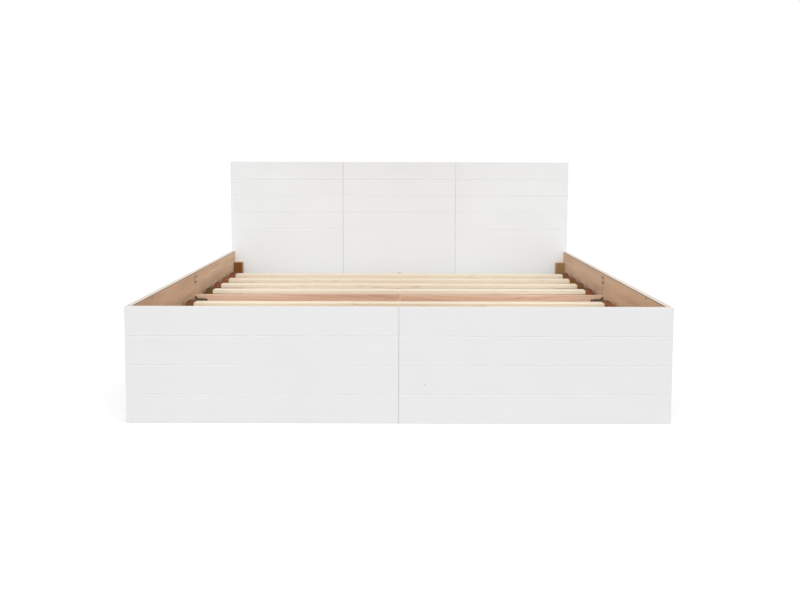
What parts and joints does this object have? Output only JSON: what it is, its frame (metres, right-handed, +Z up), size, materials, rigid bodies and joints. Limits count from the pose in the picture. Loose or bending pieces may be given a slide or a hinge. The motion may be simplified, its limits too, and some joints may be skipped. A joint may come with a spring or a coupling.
{
  "type": "storage bed",
  "caption": "Box-shaped bed with plank-grooved white boards, a taller headboard, a slatted mattress recess and wide rolling drawers under the sides.",
  "frame": {"origin": "on the floor, in the middle of the overall box", "axes": "+X across the bed to the right seen from the foot, +Y from the foot to the head, +Z up"},
  "size_m": [1.85, 2.08, 0.889],
  "materials": {
    "painted_board": "satin white paint on the outer faces, bare pine on the inner face of a side board",
    "slat_pine": "planed, raw",
    "frame_pine": "planed, raw",
    "dark_timber": "sawn, raw",
    "drawer_board": "sanded plywood",
    "zinc_steel": "zinc plated",
    "yellow_zinc_steel": "yellow zinc plated",
    "castor_wheel": "moulded, matt"
  },
  "bodies": {
    "bed_frame": {"centre_beam": "frame_pine", "centre_divider": "frame_pine", "cross_board_left": "frame_pine", "cross_board_right": "frame_pine", "foot_ledger_left": "dark_timber", "foot_ledger_right": "dark_timber", "foot_post_left": "dark_timber", "foot_post_right": "dark_timber", "footboard_cleat": "frame_pine", "footboard_panel_left": "painted_board", "footboard_panel_right": "painted_board", "frame_fixings": "yellow_zinc_steel", "head_ledger_left": "dark_timber", "head_ledger_right": "dark_timber", "head_post_left": "dark_timber", "head_post_right": "dark_timber", "headboard_batten_lower": "frame_pine", "headboard_batten_upper": "frame_pine", "headboard_panel_centre": "painted_board", "headboard_panel_left": "painted_board", "headboard_panel_right": "painted_board", "side_panel_left": "painted_board", "side_panel_right": "painted_board", "side_rail_left": "painted_board", "side_rail_right": "painted_board", "slat_1": "slat_pine", "slat_2": "slat_pine", "slat_3": "slat_pine", "slat_4": "slat_pine", "slat_5": "slat_pine", "slat_6": "slat_pine", "slat_7": "slat_pine", "slat_8": "slat_pine", "slat_stops": "dark_timber"},
    "drawer_left": {"castor_axles_left": "zinc_steel", "castor_brackets_left": "zinc_steel", "castor_screws_left": "zinc_steel", "drawer_back_left": "drawer_board", "drawer_bottom_left": "drawer_board", "drawer_face_left": "painted_board", "drawer_front_left": "drawer_board", "drawer_side_foot_left": "drawer_board", "drawer_side_head_left": "drawer_board"},
    "drawer_right": {"castor_axles_right": "zinc_steel", "castor_brackets_right": "zinc_steel", "castor_screws_right": "zinc_steel", "drawer_back_right": "drawer_board", "drawer_bottom_right": "drawer_board", "drawer_face_right": "painted_board", "drawer_front_right": "drawer_board", "drawer_side_foot_right": "drawer_board", "drawer_side_head_right": "drawer_board"},
    "castor_wheel_left_inner_foot": {"castor_wheel_left_inner_foot": "castor_wheel"},
    "castor_wheel_left_inner_head": {"castor_wheel_left_inner_head": "castor_wheel"},
    "castor_wheel_left_outer_foot": {"castor_wheel_left_outer_foot": "castor_wheel"},
    "castor_wheel_left_outer_head": {"castor_wheel_left_outer_head": "castor_wheel"},
    "castor_wheel_right_inner_foot": {"castor_wheel_right_inner_foot": "castor_wheel"},
    "castor_wheel_right_inner_head": {"castor_wheel_right_inner_head": "castor_wheel"},
    "castor_wheel_right_outer_foot": {"castor_wheel_right_outer_foot": "castor_wheel"},
    "castor_wheel_right_outer_head": {"castor_wheel_right_outer_head": "castor_wheel"}
  },
  "joints": [
    {"name": "drawer_left_slide", "type": "slide", "parent": "bed_frame", "child": "drawer_left", "axis": [-1, 0, 0], "range_m": [0, 0.863]},
    {"name": "drawer_right_slide", "type": "slide", "parent": "bed_frame", "child": "drawer_right", "axis": [1, 0, 0], "range_m": [0, 0.863]},
    {"name": "castor_wheel_left_outer_foot_spin", "type": "hinge", "parent": "drawer_left", "child": "castor_wheel_left_outer_foot", "pos_m": [-0.8335, -0.906, 0.018], "axis": [0, -1, 0], "continuous": true},
    {"name": "castor_wheel_left_outer_head_spin", "type": "hinge", "parent": "drawer_left", "child": "castor_wheel_left_outer_head", "pos_m": [-0.8335, -0.109, 0.018], "axis": [0, -1, 0], "continuous": true},
    {"name": "castor_wheel_left_inner_foot_spin", "type": "hinge", "parent": "drawer_left", "child": "castor_wheel_left_inner_foot", "pos_m": [-0.093, -0.906, 0.018], "axis": [0, -1, 0], "continuous": true},
    {"name": "castor_wheel_left_inner_head_spin", "type": "hinge", "parent": "drawer_left", "child": "castor_wheel_left_inner_head", "pos_m": [-0.093, -0.109, 0.018], "axis": [0, -1, 0], "continuous": true},
    {"name": "castor_wheel_right_outer_foot_spin", "type": "hinge", "parent": "drawer_right", "child": "castor_wheel_right_outer_foot", "pos_m": [0.8335, -0.906, 0.018], "axis": [0, 1, 0], "continuous": true},
    {"name": "castor_wheel_right_outer_head_spin", "type": "hinge", "parent": "drawer_right", "child": "castor_wheel_right_outer_head", "pos_m": [0.8335, -0.109, 0.018], "axis": [0, 1, 0], "continuous": true},
    {"name": "castor_wheel_right_inner_foot_spin", "type": "hinge", "parent": "drawer_right", "child": "castor_wheel_right_inner_foot", "pos_m": [0.093, -0.906, 0.018], "axis": [0, 1, 0], "continuous": true},
    {"name": "castor_wheel_right_inner_head_spin", "type": "hinge", "parent": "drawer_right", "child": "castor_wheel_right_inner_head", "pos_m": [0.093, -0.109, 0.018], "axis": [0, 1, 0], "continuous": true}
  ],
  "couplings": [
    {"joint": "castor_wheel_left_outer_foot_spin", "follows": "drawer_left_slide", "rad_per_m": 55.556},
    {"joint": "castor_wheel_left_outer_head_spin", "follows": "drawer_left_slide", "rad_per_m": 55.556},
    {"joint": "castor_wheel_left_inner_foot_spin", "follows": "drawer_left_slide", "rad_per_m": 55.556},
    {"joint": "castor_wheel_left_inner_head_spin", "follows": "drawer_left_slide", "rad_per_m": 55.556},
    {"joint": "castor_wheel_right_outer_foot_spin", "follows": "drawer_right_slide", "rad_per_m": 55.556},
    {"joint": "castor_wheel_right_outer_head_spin", "follows": "drawer_right_slide", "rad_per_m": 55.556},
    {"joint": "castor_wheel_right_inner_foot_spin", "follows": "drawer_right_slide", "rad_per_m": 55.556},
    {"joint": "castor_wheel_right_inner_head_spin", "follows": "drawer_right_slide", "rad_per_m": 55.556}
  ]
}
